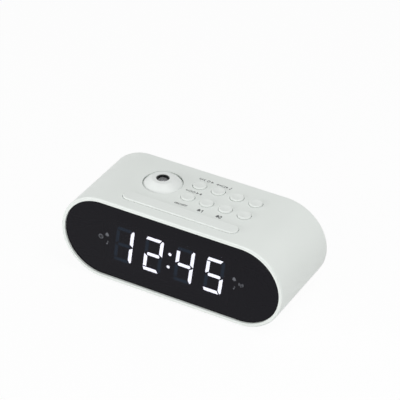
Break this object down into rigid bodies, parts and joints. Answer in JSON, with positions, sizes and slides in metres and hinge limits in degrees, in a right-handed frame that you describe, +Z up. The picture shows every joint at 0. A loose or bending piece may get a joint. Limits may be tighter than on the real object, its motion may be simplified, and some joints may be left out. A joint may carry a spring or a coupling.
{
  "type": "projection alarm clock",
  "caption": "White tube-shaped clock radio with a smoked digital display, round keys and a snooze bar on top, and an eyeball time projector that turns and tilts.",
  "frame": {"origin": "under the middle of the case, on the surface that the rubber feet stand on", "axes": "+X to the right as seen by someone facing the display, +Y from the display to the back, +Z up"},
  "size_m": [0.178, 0.07, 0.0724],
  "materials": {
    "case_white": "finely grained white ABS",
    "base_white": "finely grained white ABS",
    "key_white": "satin white ABS",
    "projector_white": "satin white ABS",
    "smoked_window": "polished smoked acrylic",
    "black_plastic": "black moulded plastic",
    "moving_nylon": "greased black nylon",
    "segment_lit": "lit epoxy light guide",
    "segment_dark": "unlit epoxy light guide",
    "circuit_board": "green solder mask",
    "screw_steel": "zinc-plated",
    "lens_clear": "clear",
    "slide_film": "glass liquid-crystal cell in a black mask",
    "lamp_red": "clear red epoxy",
    "cell_jacket": "plain printed sleeve",
    "contact_nickel": "nickel-plated",
    "speaker_steel": "black pressed steel",
    "speaker_paper": "black paper pulp",
    "speaker_ferrite": "bare sintered ferrite",
    "foot_rubber": "matt",
    "ribbon_grey": "flat grey insulation"
  },
  "bodies": {
    "case": {"housing": "case_white", "front_window": "smoked_window", "display_carrier": "black_plastic", "digit_block": "black_plastic", "lit_segments": "segment_lit", "unlit_segments": "segment_dark", "display_board": "circuit_board", "display_screws": "screw_steel", "key_board": "circuit_board", "tact_switches": "black_plastic", "key_board_screws": "screw_steel", "projector_socket": "moving_nylon", "socket_screws": "screw_steel", "rear_cover": "case_white", "rear_cover_screws": "screw_steel", "battery_cells": "cell_jacket", "battery_contacts": "contact_nickel", "speaker_frame": "speaker_steel", "speaker_cone": "speaker_paper", "speaker_magnet": "speaker_ferrite", "speaker_screws": "screw_steel", "dc_jack": "black_plastic", "jack_pin": "contact_nickel", "base_cover": "base_white", "base_screws": "screw_steel", "rubber_feet": "foot_rubber", "main_board": "circuit_board", "main_board_screws": "screw_steel", "board_parts": "black_plastic", "ribbon_cable": "ribbon_grey"},
    "yoke": {"projector_yoke": "moving_nylon"},
    "projector": {"projector_ball": "projector_white", "projector_underside": "projector_white", "lens_barrel": "black_plastic", "projector_lens": "lens_clear", "time_slide": "slide_film", "lamp_board": "circuit_board", "projector_lamp": "lamp_red"},
    "key_front_1_body": {"key_front_1": "key_white"},
    "key_front_2_body": {"key_front_2": "key_white"},
    "key_front_3_body": {"key_front_3": "key_white"},
    "key_front_4_body": {"key_front_4": "key_white"},
    "key_back_1_body": {"key_back_1": "key_white"},
    "key_back_2_body": {"key_back_2": "key_white"},
    "key_back_3_body": {"key_back_3": "key_white"},
    "key_back_4_body": {"key_back_4": "key_white"},
    "snooze": {"snooze_bar": "key_white"},
    "door": {"battery_door": "case_white"}
  },
  "joints": [
    {"name": "projector_turn", "type": "hinge", "parent": "case", "child": "yoke", "pos_m": [-0.0295, 0.0067, 0.0556], "axis": [0, 0, 1], "range_deg": [-90, 90]},
    {"name": "projector_tilt", "type": "hinge", "parent": "yoke", "child": "projector", "pos_m": [-0.0295, 0.0067, 0.0556], "axis": [1, 0, 0], "range_deg": [-30, 30]},
    {"name": "press_front_1", "type": "slide", "parent": "case", "child": "key_front_1_body", "axis": [0, 0, -1], "range_m": [0, 0.0005], "stiffness_N_per_m": 400, "springref_m": -0.001},
    {"name": "press_front_2", "type": "slide", "parent": "case", "child": "key_front_2_body", "axis": [0, 0, -1], "range_m": [0, 0.0005], "stiffness_N_per_m": 400, "springref_m": -0.001},
    {"name": "press_front_3", "type": "slide", "parent": "case", "child": "key_front_3_body", "axis": [0, 0, -1], "range_m": [0, 0.0005], "stiffness_N_per_m": 400, "springref_m": -0.001},
    {"name": "press_front_4", "type": "slide", "parent": "case", "child": "key_front_4_body", "axis": [0, 0, -1], "range_m": [0, 0.0005], "stiffness_N_per_m": 400, "springref_m": -0.001},
    {"name": "press_back_1", "type": "slide", "parent": "case", "child": "key_back_1_body", "axis": [0, 0, -1], "range_m": [0, 0.0005], "stiffness_N_per_m": 400, "springref_m": -0.001},
    {"name": "press_back_2", "type": "slide", "parent": "case", "child": "key_back_2_body", "axis": [0, 0, -1], "range_m": [0, 0.0005], "stiffness_N_per_m": 400, "springref_m": -0.001},
    {"name": "press_back_3", "type": "slide", "parent": "case", "child": "key_back_3_body", "axis": [0, 0, -1], "range_m": [0, 0.0005], "stiffness_N_per_m": 400, "springref_m": -0.001},
    {"name": "press_back_4", "type": "slide", "parent": "case", "child": "key_back_4_body", "axis": [0, 0, -1], "range_m": [0, 0.0005], "stiffness_N_per_m": 400, "springref_m": -0.001},
    {"name": "press_snooze", "type": "slide", "parent": "case", "child": "snooze", "axis": [0, 0, -1], "range_m": [0, 0.0005], "stiffness_N_per_m": 600, "springref_m": -0.001},
    {"name": "door_hinge", "type": "hinge", "parent": "case", "child": "door", "pos_m": [-0.02855, 0.0342, 0.01055], "axis": [-1, 0, 0], "range_deg": [0, 85]}
  ]
}
